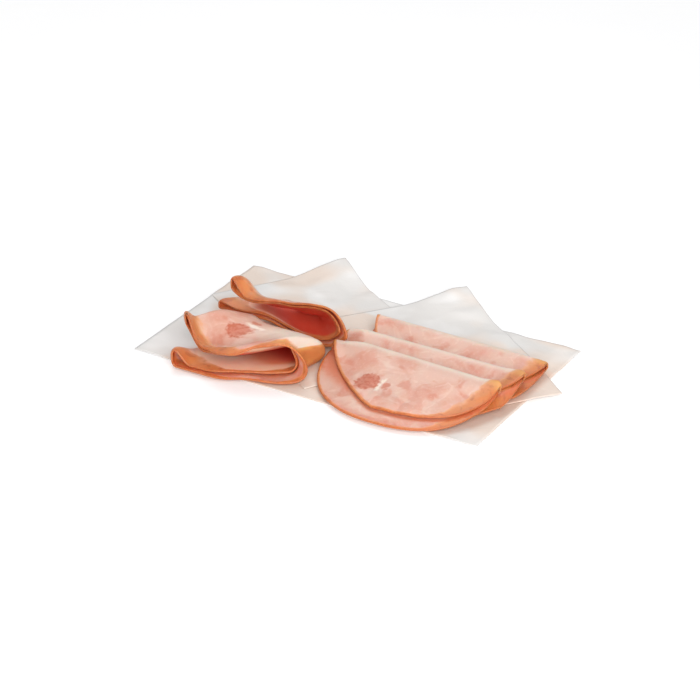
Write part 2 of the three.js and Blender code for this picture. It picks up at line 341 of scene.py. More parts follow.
# ---------- Finishes ----------
@dataclass(frozen=True)
class RoundMuscle:
    """The round, darker muscle that shows in a slice, with a streak of fat beside it.

    Args:
        at: Its middle, on the flat slice.
        fat_turn: The way from its middle to the fat, in degrees from the fold's own way.
        radius: Half its width.
        fat_away: From its middle to the fat.
        fat_length: Half the length of the fat.
        spot_away: From its middle to the small spot past the fat.
        spot_beside: How far that spot is to the side of the fat's middle.
        spot_radius: Half the width of that spot.
        fat_width: From the middle of the fat, where it ends and where it is full.
        soft: How far outside its outline the muscle starts, and how far inside it is full.
        spot_soft: The same for the spot.
        speckle: How many of the muscle's speckles there are to a millimetre.
    """

    at: tuple[float, float]
    fat_turn: float
    radius: float = 8.6
    fat_away: float = 10.2
    fat_length: float = 8.0
    spot_away: float = 13.6
    spot_beside: float = 0.0
    spot_radius: float = 3.2
    fat_width: tuple[float, float] = (2.2, 0.5)
    soft: tuple[float, float] = (0.8, 1.6)
    spot_soft: tuple[float, float] = (1.0, 1.4)
    speckle: float = 0.42

    def apply(self, g: Graph, finish: "HamFinish", flat: Any, stir: Any, colour: Any) -> Any:
        """Paints the muscle, its fat and its spot over the meat.

        Args:
            g: The material's graph.
            finish: The slice's finish, for its colours.
            flat: The flat slice's coordinates, in millimetres.
            stir: A noise that makes the outlines uneven.
            colour: The meat's colour socket.

        Returns:
            The colour socket.
        """
        moved = g.vector("SUBTRACT", flat, (*self.at, 0.0))
        turned = g.node(
            "ShaderNodeVectorRotate",
            {"Vector": moved, "Axis": (0, 0, 1), "Angle": -math.radians(self.fat_turn)},
        ).outputs[0]
        towards, beside, _ = g.node("ShaderNodeSeparateXYZ", {0: turned}).outputs
        fine = g.noise(flat, self.speckle, 2.0)
        coarse_shift = g.spread(stir, 0.3, 0.7, (-0.4, 0.4))
        uneven = g.math("ADD", coarse_shift, g.spread(fine, 0.3, 0.7, (-0.8, 0.8)))
        away = g.math("ADD", g.vector("LENGTH", turned), uneven)
        spotted = g.mix(g.spread(fine, 0.36, 0.64, (0.0, 0.75)), finish.eye, finish.salmon)
        outer, inner = self.radius + self.soft[0], self.radius - self.soft[1]
        colour = g.mix(g.spread(away, outer, inner, (0.0, 0.9)), colour, spotted)
        past_fat = g.math("ADD", towards, g.math("SUBTRACT", uneven, self.fat_away))
        off_fat = g.spread(g.math("ABSOLUTE", past_fat), *self.fat_width)
        off_end = g.spread(g.math("ABSOLUTE", beside), self.fat_length, self.fat_length * 0.6)
        colour = g.mix(g.scaled(g.scaled(off_fat, off_end), 0.85), colour, finish.fat_and_highlight)
        off_spot = g.vector("DISTANCE", turned, (self.spot_away, self.spot_beside, 0.0))
        outer, inner = self.spot_radius + self.spot_soft[0], self.spot_radius - self.spot_soft[1]
        spot = g.spread(g.math("ADD", off_spot, uneven), outer, inner, (0.0, 0.7))
        return g.mix(spot, colour, finish.eye)


@dataclass(frozen=True)
class HamFinish:
    """Moist cut face of cooked ham with its browned rind, painted shade and highlights at its
    folds.

    Args:
        seed: Where on the pattern the slice is cut.
        muscle: The round muscle, where it shows.
        pale: Lightest meat, as every colour here from paint().
        pink: Common meat.
        salmon: Darkest patches of the meat, and light specks in the round muscle.
        fat_and_highlight: Streaks of fat, and the painted highlight along the top of a fold.
        eye: The round muscle.
        peach: Inner border of the rind.
        glow: Painted glow of light coming through the meat.
        rind_highlight: Painted highlight on the rind along the top of a fold.
        gold: Common rind.
        brown: Outer border and flecks of the rind.
        crust: The cut edge of the rind.
        painted_shade: Painted shade under another layer's rim and between a fold's layers.
        deep: Painted shade deep inside a fold.
        broad_scale: How many broad patches to a unit of the flat slice.
        patch_scale: The same for the smaller, darker patches.
        grain_scale: The same for the fine grain.
        stir_scale: The same for what makes outlines uneven.
        fleck_scale: The same for the flecks in the rind.
        relief: Strength of the bump, and its height in metres.
        roughness: Where the surface is moistest and driest.
        specular: Outside, and deep in a fold.
        coat: The moist film, outside and deep in a fold.
        coat_roughness: Of that film.
        subsurface: How much light goes through the surface.
        bleed: How far red, green and blue light go there, as shares of bleed_depth.
        bleed_depth: In metres.
    """

    seed: float
    muscle: RoundMuscle | None = None
    pale: tuple = paint(219, 175, 158)
    pink: tuple = paint(211, 152, 132)
    salmon: tuple = paint(204, 126, 102)
    fat_and_highlight: tuple = paint(246, 222, 207)
    eye: tuple = paint(188, 92, 58)
    peach: tuple = paint(228, 164, 122)
    glow: tuple = paint(254, 204, 176)
    rind_highlight: tuple = paint(226, 156, 74)
    gold: tuple = paint(208, 126, 66)
    brown: tuple = paint(172, 88, 42)
    crust: tuple = paint(170, 96, 48)
    painted_shade: tuple = paint(206, 112, 74)
    deep: tuple = paint(192, 46, 36)
    broad_scale: float = 4.0
    patch_scale: float = 9.0
    grain_scale: float = 55.0
    stir_scale: float = 14.0
    fleck_scale: float = 17.0
    relief: tuple[float, float] = (0.3, 0.0005)
    roughness: tuple[float, float] = (0.36, 0.5)
    specular: tuple[float, float] = (0.5, 0.15)
    coat: tuple[float, float] = (0.12, 0.0)
    coat_roughness: float = 0.3
    subsurface: float = 0.7
    bleed: tuple[float, float, float] = (1.0, 0.45, 0.3)
    bleed_depth: float = 0.004

    def meat(self, g: Graph, where: Any) -> tuple[Any, Any]:
        """Mottled pink meat with faint, wavy streaks of fat.

        Args:
            g: The material's graph.
            where: The flat slice's coordinates, from this slice's place on the pattern.

        Returns:
            The colour socket, and the fine grain's socket.
        """
        broad = g.noise(where, self.broad_scale, 1.5, 0.3)
        patchy = g.noise(where, self.patch_scale, 2.0, 0.4)
        grain = g.noise(where, self.grain_scale, 3.0)
        colour = g.mix(g.spread(broad, 0.4, 0.62), self.pale, self.pink)
        colour = g.mix(g.spread(patchy, 0.54, 0.7, (0.0, 0.65)), colour, self.salmon)
        colour = g.mix(g.spread(patchy, 0.46, 0.34, (0.0, 0.5)), colour, self.pale)
        winding = g.noise(where, self.broad_scale, 2.0, 0.9)
        ridge = g.math("ABSOLUTE", g.math("SUBTRACT", winding, 0.5))
        seam = g.scaled(g.spread(ridge, 0.04, 0.002), g.spread(patchy, 0.4, 0.6, (0.2, 0.0)))
        colour = g.mix(seam, colour, self.fat_and_highlight)
        colour = g.mix(g.spread(grain, 0.5, 0.74, (0.0, 0.12)), colour, self.fat_and_highlight)
        return colour, grain

    def browned(self, g: Graph, where: Any, stir: Any, colour: Any) -> Any:
        """Paints the rind and the crust over the meat, with painted highlight and painted shadow.

        Args:
            g: The material's graph.
            where: The flat slice's coordinates, from this slice's place on the pattern.
            stir: A noise that makes the rind's width uneven.
            colour: The meat's colour socket.

        Returns:
            The colour socket.
        """
        edge = g.math("ADD", g.attribute(Mark.RIND), g.spread(stir, 0.3, 0.7, (-0.16, 0.16)))
        flecks = g.noise(where, self.fleck_scale, 3.0)
        rind = g.mix(g.spread(edge, 0.02, 0.4, (0.3, 0.0)), self.gold, self.brown)
        rind = g.mix(g.spread(flecks, 0.52, 0.66, (0.0, 0.7)), rind, self.brown)
        # Painted highlight on the rind along the top of a fold.
        rind = g.mix(g.scaled(g.attribute(Mark.PAINTED_HIGHLIGHT), 0.8), rind, self.rind_highlight)
        rind = g.mix(g.spread(edge, 0.5, 1.0, (0.0, 0.8)), rind, self.peach)
        colour = g.mix(g.spread(edge, 1.12, 0.82, (0.0, 0.95)), colour, rind)
        # Painted shadow under the upper layer's rim.
        colour = g.mix(g.scaled(g.attribute(Mark.RIM_SHADOW), 0.85), colour, self.painted_shade)
        at_rim = g.spread(g.attribute(Mark.RIM_MM), 0.8, 0.1, (0.0, 0.85))
        return g.mix(at_rim, colour, self.crust)

    def material(self, name: str) -> bpy.types.Material:
        """Builds the finish.

        Args:
            name: The material's name.

        Returns:
            The material.
        """
        made, g = new_material(name)
        uv = g.node("ShaderNodeUVMap", uv_map="flat").outputs[0]
        where = g.vector("ADD", uv, (self.seed, self.seed * 0.7, 0.0))
        stir = g.noise(where, self.stir_scale, 3.0)
        colour, grain = self.meat(g, where)
        if self.muscle:
            flat = g.vector("MULTIPLY", uv, (UV_SPAN, UV_SPAN, 0.0))
            colour = self.muscle.apply(g, self, flat, stir, colour)
        # Painted highlight along the top of a fold, in the fat's colour.
        colour = g.mix(g.scaled(g.attribute(Mark.PAINTED_HIGHLIGHT), 0.75), colour, self.fat_and_highlight)
        # Painted glow of light through the meat, inside the bend.
        colour = g.mix(g.scaled(g.attribute(Mark.GLOW), 0.8), colour, self.glow)
        colour = self.browned(g, where, stir, colour)
        # Painted shade between a fold's layers and deep inside the bend, first in the shade colour,
        # then deep red.
        deep = g.attribute(Mark.FOLD_SHADE)
        colour = g.mix(g.spread(deep, 0.0, 0.5, (0.0, 0.8)), colour, self.painted_shade)
        colour = g.mix(g.spread(deep, 0.3, 1.0, (0.0, 0.95)), colour, self.deep)

        height = g.math("ADD", g.scaled(grain, 0.4), stir)
        strength, distance = self.relief
        inputs = {"Height": height, "Strength": strength, "Distance": distance}
        bump = g.node("ShaderNodeBump", inputs)
        g.end_material(
            {
                "Base Color": colour,
                "Roughness": g.spread(stir, 0.3, 0.7, self.roughness),
                "Normal": bump.outputs[0],
                "Subsurface Weight": self.subsurface,
                "Subsurface Radius": self.bleed,
                "Subsurface Scale": self.bleed_depth,
                "Specular IOR Level": g.spread(deep, 0.1, 0.6, self.specular),
                "Coat Weight": g.spread(deep, 0.1, 0.6, self.coat),
                "Coat Roughness": self.coat_roughness,
            }
        )
        return made


@dataclass(frozen=True)
class PaperFinish:
    """Thin greaseproof paper, greyish white, warmer where ham lies near it.

    Args:
        seed: Where on the pattern the sheet is cut.
        white: Common paper, as every colour here from paint().
        shade: Its greyer patches and its fibres.
        warm: Warm patches of the paper, more of them near the ham, where they are grease
        and a painted reflection of the ham.
        oily_glow: Paper right beside the ham: grease and a painted reflection of the ham.
        patch_scale: How many grey patches to a metre.
        tint_scale: The same for the tinted patches.
        fibre_scale: The same for the fibres.
        crinkle_scale: The same for the crinkles.
        relief: Strength of the bump, and its height in metres.
        roughness: Where the surface is smoothest and roughest.
        sheen: Of the fibres.
    """

    seed: float
    white: tuple = paint(232, 230, 228)
    shade: tuple = paint(221, 218, 215)
    warm: tuple = paint(228, 210, 196)
    oily_glow: tuple = paint(220, 172, 142)
    patch_scale: float = 26.0
    tint_scale: float = 11.0
    fibre_scale: float = 900.0
    crinkle_scale: float = 55.0
    relief: tuple[float, float] = (0.4, 0.0015)
    roughness: tuple[float, float] = (0.48, 0.62)
    sheen: float = 0.1

    def material(self, name: str) -> bpy.types.Material:
        """Builds the finish.

        Args:
            name: The material's name.

        Returns:
            The material.
        """
        made, g = new_material(name)
        where = g.vector("ADD", g.object_place(), (self.seed, 0.0, 0.0))
        patchy = g.noise(where, self.patch_scale, 2.0, 0.4)
        fibre = g.noise(where, self.fibre_scale, 2.0)
        tinted = g.noise(where, self.tint_scale, 2.0, 0.5)
        # Grease and a painted reflection of the ham warm the paper near it.
        tinted = g.math("ADD", tinted, g.scaled(g.attribute(Mark.WARM), 0.2))
        colour = g.mix(g.spread(patchy, 0.4, 0.6), self.white, self.shade)
        colour = g.mix(g.spread(tinted, 0.5, 0.6, (0.0, 0.9)), colour, self.warm)
        # Grease and a painted reflection of the ham, right beside it.
        colour = g.mix(g.scaled(g.attribute(Mark.OILY_GLOW), 0.4), colour, self.oily_glow)
        colour = g.mix(g.spread(fibre, 0.4, 0.7, (0.0, 0.12)), colour, self.shade)
        crinkle = g.noise(where, self.crinkle_scale, 3.0, 0.8)
        height = g.math("ADD", crinkle, g.scaled(fibre, 0.03))
        strength, distance = self.relief
        inputs = {"Height": height, "Strength": strength, "Distance": distance}
        bump = g.node("ShaderNodeBump", inputs)
        g.end_material(
            {
                "Base Color": colour,
                "Roughness": g.spread(patchy, 0.35, 0.65, self.roughness),
                "Normal": bump.outputs[0],
                "Sheen Weight": self.sheen,
            }
        )
        return made


# ---------- Thin bodies ----------
@dataclass
class ThinBody:
    """A skin of points given its thickness, with a rounded rim all round.

    Args:
        middle: The skin's points, as columns by rows by three.
        thickness: How thick the body is.
        rim_bulge: How far the rim stands out, as a share of the thickness.
    """

    middle: Array
    thickness: float
    rim_bulge: float = 0.3

    def normals(self) -> Array:
        """Which way the skin faces.

        Returns:
            Unit normals, towards its first face.
        """
        along = np.gradient(self.middle, axis=0)
        across = np.gradient(self.middle, axis=1)
        normal = np.cross(along, across)
        return normal / np.maximum(np.linalg.norm(normal, axis=2, keepdims=True), TINY)

    def border(self) -> Array:
        """Goes once round the rim.

        Returns:
            Grid numbers of its points.
        """
        columns, rows = self.middle.shape[:2]
        at = np.arange(columns * rows).reshape(columns, rows)
        sides = (at[:-1, 0], at[-1, :-1], at[:0:-1, -1], at[0, :0:-1])
        return np.concatenate(sides)

    def mesh(self, name: str, values: dict[Mark, tuple[Array, Array]], flat: Array) -> Any:
        """Makes the body's mesh.

        Args:
            name: The mesh's name.
            values: Numbers kept per point, for the first and the second face of the skin.
            flat: Each skin point's place on the flat, unfolded piece.

        Returns:
            The mesh.
        """
        columns, rows = self.middle.shape[:2]
        count = columns * rows
        shift = self.normals() * self.thickness / 2
        skin = self.middle.reshape(-1, 3)
        rim = self.border()
        inner = self.rim_neighbours()
        outward = skin[rim] - skin[inner]
        outward /= np.maximum(np.linalg.norm(outward, axis=1, keepdims=True), TINY)
        ring = skin[rim] + outward * self.rim_bulge * self.thickness
        faces_of = (self.middle + shift).reshape(-1, 3), (self.middle - shift).reshape(-1, 3)
        points = np.concatenate([*faces_of, ring]) * MM

        at = np.arange(count).reshape(columns, rows)
        corners_of = (at[:-1, :-1], at[1:, :-1], at[1:, 1:], at[:-1, 1:])
        quad = np.stack(corners_of, axis=-1).reshape(-1, 4)
        ring_at = 2 * count + np.arange(len(rim))
        follow = np.roll(np.arange(len(rim)), -1)
        upper = np.stack([rim, ring_at, ring_at[follow], rim[follow]], axis=1)
        lower = np.stack([ring_at, rim + count, rim[follow] + count, ring_at[follow]], axis=1)
        faces = np.concatenate([quad, quad[:, ::-1] + count, upper, lower])

        made = bpy.data.meshes.new(name)
        made.from_pydata(points.tolist(), [], faces.tolist())
        made.shade_smooth()
        for mark, (first, second) in values.items():
            whole = np.concatenate([first.ravel(), second.ravel(), second.ravel()[rim]])
            keep_numbers(made, mark, whole)
        uv = made.uv_layers.new(name="flat")
        corners = np.empty(len(made.loops), np.int32)
        made.loops.foreach_get("vertex_index", corners)
        source = np.concatenate([np.arange(count), np.arange(count), rim])
        places = flat.reshape(-1, 2)[source[corners]] / UV_SPAN
        uv.data.foreach_set("uv", places.astype(np.float32).ravel())
        made.update()
        return made

    def rim_neighbours(self) -> Array:
        """Finds the point just inside each point of the rim.

        Returns:
            Grid numbers, in the border's order.
        """
        columns, rows = self.middle.shape[:2]
        rim = self.border()
        i, j = rim // rows, rim % rows
        return np.clip(i, 1, columns - 2) * rows + np.clip(j, 1, rows - 2)


# ---------- Ham ----------
@dataclass(frozen=True)
class Layer:
    """Half of a folded slice, on one side of its first fold.

    Args:
        depth: From the fold to the rim, at its middle.
        ends: Squareness of the outline at each end, where 2 is round and less is pointed.
        lobes: How much a lobe widens the layer at each end.
        lean: How far the rim is shifted along the fold.
        slant: How far the fold falls back along this layer's arm, per millimetre.
        levels: How far the arm leaves its even height, at equal steps to its end.
        droop: How far its rim leaves that, at the same steps.
    """

    depth: float
    ends: tuple[float, float]
    lobes: tuple[float, float] = NO_LOBES
    lean: float = 0.0
    slant: float = 0.0
    levels: Levels = EVEN
    droop: Levels = EVEN

    def outline(self, share: Array) -> Array:
        """How deep the layer is.

        Args:
            share: Along the fold, from -1 to 1.

        Returns:
            Its depth there.
        """
        left, away = share < 0, np.minimum(np.abs(share), 1.0)
        squareness = np.where(left, self.ends[0], self.ends[1])
        lobe = smoothstep(away, LOBE_FROM, LOBE_FULL) * np.sqrt(1.0 - away**LOBE_ROUNDNESS)
        body = (1.0 - away**squareness) ** (1.0 / squareness)
        return self.depth * body + np.where(left, self.lobes[0], self.lobes[1]) * lobe


@dataclass
class HamSlice:
    """A slice folded in half, and what both kinds of slice share.

    Args:
        name: The CAD node that the slice stands for.
        half_crease: Half the length of the first fold.
        lower: The layer under the fold, or outside the second bend.
        upper: The layer over the fold, or inside the second bend.
        loop: Radius of the fold.
        rim_gap: Between the layers' middles at the rim.
        closing: How far behind the fold the layers take to come that near.
        finish: What the slice is dressed in.
        end_loop: How much looser the fold is at each end.
        end_round: Radius of the fold's corner at each end.
        rind: Width of the browned rind, at its narrowest and widest.
        columns: Strips of the mesh in each end and in the middle stretch.
        rows: Strips from the lower layer's rim to the upper's.
        rim_steps: Points of the rim that distances are measured to.
        column_end: Where the outermost column lies, as a share of the half crease.
        row_crowding: More than 1 crowds the rows towards the fold.
        ripple: Height of the layers' ripples.
        ripple_from: How far from the fold the ripples start, and where they are full.
        ripple_turns: How fast they come along the fold, a slow and a quick one, and how fast the
            quick one comes away from the fold, in radians per millimetre.
        inner_fade: More than 1 narrows the rind on the inside face.
        rim_shadow_width: How wide the painted shadow under the upper layer's rim is,
        at the right and the left.
        highlight_from: How far from the fold the painted highlight on its top starts and is full,
            below 0 on its lower layer.
        highlight_reach: How far behind the fold the painted highlight starts to fade and has ended.
        shut_cover: Where the layers cover each other, fully and not at all, as shares of depth.
        shut_from: How far from the rim the painted shade between them starts, and is full.
    """

    name: str
    half_crease: float
    lower: Layer
    upper: Layer
    loop: float
    rim_gap: float
    closing: float
    finish: HamFinish
    end_loop: tuple[float, float] = (0.0, 0.0)
    end_round: tuple[float, float] = (2.5, 6.0)
    rind: tuple[float, float] = (1.8, 10.0)
    columns: tuple[int, int] = (64, 64)
    rows: int = 144
    rim_steps: int = 480
    column_end: float = 0.9995
    row_crowding: float = 1.3
    ripple: float = 0.35
    ripple_from: tuple[float, float] = (12.0, 55.0)
    ripple_turns: tuple[float, float, float] = (0.16, 0.31, 0.05)
    inner_fade: float = 1.0
    rim_shadow_width: tuple[float, float] = (2.6, 13.0)
    highlight_from: tuple[float, float] = (-6.0, 2.0)
    highlight_reach: tuple[float, float] = (4.0, 11.0)
    shut_cover: tuple[float, float] = (0.6, 0.97)
    shut_from: tuple[float, float] = (4.0, 14.0)

    def near_end(self, s: Array) -> Array:
        """How much of its end's own form the slice has, at a place along the fold."""
        return smoothstep(np.abs(s) / self.half_crease, END_FROM, 1.0)

    def loop_radius(self, s: Array) -> Array:
        """Radius of the fold, at a place along it."""
        return self.loop + np.where(s < 0, *self.end_loop) * self.near_end(s)

    def corner_fall(self, s: Array) -> Array:
        """Rounds the fold's corners.

        Args:
            s: Along the fold.

        Returns:
            How far the fold falls back from its straight line.
        """
        radius = np.where(s < 0, *self.end_round)
        into = np.clip(np.abs(s) - self.half_crease + radius, 0.0, radius)
        return radius - np.sqrt(radius**2 - into**2)

    def half_gap(self, s: Array, along: Array) -> Array:
        """Half the space between the layers' middles.

        Args:
            s: Along the fold.
            along: Behind the fold.

        Returns:
            The half space.
        """
        loop = self.loop_radius(s)
        return between(loop, self.rim_gap / 2, smoothstep(along, loop, loop + self.closing))

    def stations(self) -> tuple[float, float]:
        """Where the even middle stretch of columns begins and ends."""
        raise NotImplementedError

    def lay(self, s: Array, t: Array, across: Array) -> Array:
        """Puts points of the folded slice where they lie.

        Args:
            s: Along the fold.
            t: Behind the fold.
            across: Off the middle of the two layers.

        Returns:
            The points.
        """
        raise NotImplementedError

    def rind_share(self, s: Array) -> Array:
        """How near its widest the rind is, at a place along the fold."""
        raise NotImplementedError

    def hollow(self, s: Array, d: Array, rim: Array) -> Array:
        """How much painted shade each outside face has deep inside the second bend, from 0 to 1."""
        return np.zeros_like(s)

    def painted_highlight(self, s: Array, d: Array) -> Array:
        """Painted highlight on each outside face, from 0 to 1: most along the fold's top."""
        return (1.0 - smoothstep(d, *self.highlight_reach)) * smoothstep(d, *self.highlight_from)

    def rim_shadow(self, s: Array, d: Array) -> Array:
        """Finds the painted shadow that the upper layer's rim casts on the lower layer.

        Args:
            s: Along the fold.
            d: From the fold.

        Returns:
            How much painted shadow each point of the lower layer has, from 0 to 1.
        """
        share = np.sin(np.linspace(-math.pi / 2, math.pi / 2, self.rim_steps))
        line = share * self.half_crease, -self.upper.outline(share)
        near = [(flat[..., None] - points) ** 2 for flat, points in zip((s, d), line)]
        off = np.sqrt((near[0] + near[1]).min(axis=-1))
        width = between(*self.rim_shadow_width, smoothstep(-s / self.half_crease, 0.3, 0.8))
        return np.where(d < 0, 1.0 - smoothstep(off / width, 0.1, 1.0), 0.0)

    def glow(self, s: Array, d: Array) -> Array:
        """Painted glow of light through the meat on each outside face, from 0 to 1."""
        return np.zeros_like(s)

    def outer_rind(self, s: Array, d: Array, width: Array) -> Array:
        """Width of the rind on the outside face, from its width on the inside face."""
        return width

    def flat_grid(self) -> tuple[Array, Array]:
        """The slice before it is folded.

        Returns:
            Each point's place along the fold, and its distance from the fold, below 0 on the
            lower layer.
        """
        start, end = self.stations()
        tip = self.half_crease * self.column_end
        ease = np.sin(np.linspace(0, math.pi / 2, self.columns[0] + 1))[1:]
        places = np.concatenate(
            [
                between(start, -tip, ease)[::-1],
                np.linspace(start, end, self.columns[1] + 1),
                between(end, tip, ease),
            ]
        )
        share = np.linspace(-1, 1, self.rows + 1)
        s, share = np.meshgrid(places, share, indexing="ij")
        along = s / self.half_crease
        depth = np.where(share < 0, self.lower.outline(along), self.upper.outline(along))
        return s, np.sign(share) * np.abs(share) ** self.row_crowding * depth

    def rim_distance(self, s: Array, d: Array) -> tuple[Array, Array]:
        """How far each point is from the rim, over the flat slice.

        Args:
            s: Along the fold.
            d: From the fold.

        Returns:
            The distance, and how far along the fold the nearest point of the rim is.
        """
        share = np.sin(np.linspace(-math.pi / 2, math.pi / 2, FINE_STEPS))
        line_s = np.concatenate([share, share[::-1]]) * self.half_crease
        line_d = np.concatenate([-self.lower.outline(share), self.upper.outline(share[::-1])])
        length = np.concatenate([[0.0], np.hypot(np.diff(line_s), np.diff(line_d)).cumsum()])
        even = np.linspace(0.0, length[-1], self.rim_steps)
        lines = (line_s, line_d)
        rim_s, rim_d = (np.interp(even, length, line).astype(np.float32) for line in lines)
        near = s.astype(np.float32)[..., None], d.astype(np.float32)[..., None]
        gap = (near[0] - rim_s) ** 2 + (near[1] - rim_d) ** 2
        return np.sqrt(gap.min(axis=-1)), rim_s[gap.argmin(axis=-1)]

    def waves(self, s: Array, d: Array) -> Array:
        """Gentle ripples of the layer, growing towards its rim.

        Args:
            s: Along the fold.
            d: From the fold.

        Returns:
            How far they move each point off the layer's middle.
        """
        grow = smoothstep(np.abs(d), *self.ripple_from)
        slow, quick, away = self.ripple_turns
        wave = np.sin(slow * s + 0.7) + 0.6 * np.sin(quick * s + away * d + self.finish.seed)
        return self.ripple * grow * wave

    def fold(self, s: Array, d: Array) -> Array:
        """Folds the flat slice.

        Args:
            s: Along the fold.
            d: From the fold.

        Returns:
            The skin's points.
        """
        loop = self.loop_radius(s)
        along, across, _ = hairpin(d, loop)
        lean = np.where(d < 0, self.lower.lean, self.upper.lean)
        depth = np.where(d < 0, self.lower.depth, self.upper.depth)
        across = across * self.half_gap(s, along) / loop
        return self.lay(s + lean * np.abs(d) / depth, along, across + self.waves(s, d))

    def build(self, shift: Array) -> bpy.types.Object:
        """Makes the slice.

        Args:
            shift: From the layout's middle to the frame's origin.

        Returns:
            The piece.
        """
        s, d = self.flat_grid()
        body = ThinBody(self.fold(s, d) + shift, SLICE_THICKNESS)
        rim, rim_s = self.rim_distance(s, d)
        width = between(self.rind[0], self.rind[1], self.rind_share(rim_s))
        # Painted shade between the fold's layers, where they cover each other, away from the rim.
        cover = self.upper.outline(s / self.half_crease)
        covered = 1.0 - smoothstep(np.abs(d) / np.maximum(cover, 1.0), *self.shut_cover)
        shut = covered * smoothstep(rim, *self.shut_from)
        values = {
            Mark.RIM_MM: (rim, rim),
            Mark.RIND: (rim / width * self.inner_fade, rim / self.outer_rind(s, d, width)),
            Mark.PAINTED_HIGHLIGHT: (np.zeros_like(s), self.painted_highlight(s, d)),
            Mark.GLOW: (np.zeros_like(s), self.glow(s, d)),
            Mark.RIM_SHADOW: (self.rim_shadow(s, d), np.zeros_like(s)),
            Mark.FOLD_SHADE: (shut, self.hollow(s, d, rim)),
        }
        mesh = body.mesh(self.name + "_meat", values, np.stack([s, d], axis=-1))
        return new_object(self.name + "_meat", mesh)

    def dress(self, piece: bpy.types.Object) -> None:
        """Gives the slice its finish and its place in the frame.

        Args:
            piece: The slice.
        """
        piece.data.materials.append(self.finish.material(self.name + "_finish"))
        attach(piece, BODY)
        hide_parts(self.name)


@dataclass
class FlatSlice(HamSlice):
    """A slice folded once, lying flat on the paper and on the slices beneath it.

    Args:
        middle_at: Middle of its fold.
        turn: How far its fold is turned, in degrees.
        end_lift: How far each end stands up.
        beneath: The slices that it lies on.
        half_middle: Half the length of the even middle stretch of columns.
        rind_from: Where the rind starts to widen and is widest, as shares of the half crease.
    """

    middle_at: tuple[float, float] = (0.0, 0.0)
    turn: float = 0.0
    end_lift: tuple[float, float] = (0.0, 0.0)
    beneath: list["FlatSlice"] = field(default_factory=list)
    half_middle: float = 20.0
    rind_from: tuple[float, float] = (0.55, 0.95)

    def stations(self) -> tuple[float, float]:
        """Where the even middle stretch of columns begins and ends."""
        return -self.half_middle, self.half_middle

    def direction(self) -> tuple[float, float]:
        """Cosine and sine of the fold's turn."""
        angle = math.radians(self.turn)
        return math.cos(angle), math.sin(angle)

    def local(self, x: Array, y: Array) -> tuple[Array, Array]:
        """Measures a place on the paper from the fold.

        Args:
            x: Towards the right.
            y: Towards the back.

        Returns:
            How far along the fold it is, and how far behind it.
        """
        cos, sin = self.direction()
        dx, dy = x - self.middle_at[0], y - self.middle_at[1]
        return dx * cos + dy * sin, dx * sin - dy * cos

    def outside(self, x: Array, y: Array) -> Array:
        """Measures a place on the paper from the slice's outline.

        Args:
            x: Towards the right.
            y: Towards the back.

        Returns:
            How far outside it is, below 0 where the slice covers it.
        """
        s, t = self.local(x, y)
        s = s - self.lower.lean * t / self.lower.depth
        reach = np.hypot(s / self.half_crease, t / self.lower.depth)
        return np.maximum(-t, (reach - 1.0) * self.lower.depth)

    def rest(self, x: Array, y: Array) -> Array:
        """Lays the slice over those beneath it.

        Args:
            x: Towards the right.
            y: Towards the back.

        Returns:
            Height of the lower layer's middle over that place on the paper.
        """
        height = np.full_like(x, HAM_FLOOR)
        for lower in self.beneath:
            cover = 1.0 - smoothstep(lower.outside(x, y), 0.0, DRAPE_SPREAD)
            draped = between(HAM_FLOOR, lower.top(x, y) + DRAPE_PITCH, cover)
            height = np.maximum(height, draped)
        return height

    def lift(self, s: Array) -> Array:
        """How far the slice stands up from what it lies on, at a place along the fold."""
        return np.where(s < 0, *self.end_lift) * self.near_end(s)

    def top(self, x: Array, y: Array) -> Array:
        """How high the slice is.

        Args:
            x: Towards the right.
            y: Towards the back.

        Returns:
            Height of the upper layer's middle over that place on the paper.
        """
        s, t = self.local(x, y)
        gap = 2.0 * self.half_gap(s, t - self.corner_fall(s))
        return self.rest(x, y) + self.lift(s) + gap

    def lay(self, s: Array, t: Array, across: Array) -> Array:
        """Puts points of the folded slice where they lie.

        Args:
            s: Along the fold.
            t: Behind the fold.
            across: Off the middle of the two layers.

        Returns:
            The points.
        """
        cos, sin = self.direction()
        back = t + self.corner_fall(s)
        x = self.middle_at[0] + s * cos + back * sin
        y = self.middle_at[1] + s * sin - back * cos
        z = self.rest(x, y) + self.lift(s) + self.half_gap(s, t) + across
        return np.stack([x, y, z], axis=-1)

    def waves(self, s: Array, d: Array) -> Array:
        """Ripples of the upper layer alone, because the lower lies on the paper."""
        return np.where(d > 0, np.abs(super().waves(s, d)), 0.0)

    def rind_share(self, s: Array) -> Array:
        """The rind is widest at the fold's right end."""
        return smoothstep(s / self.half_crease, *self.rind_from)


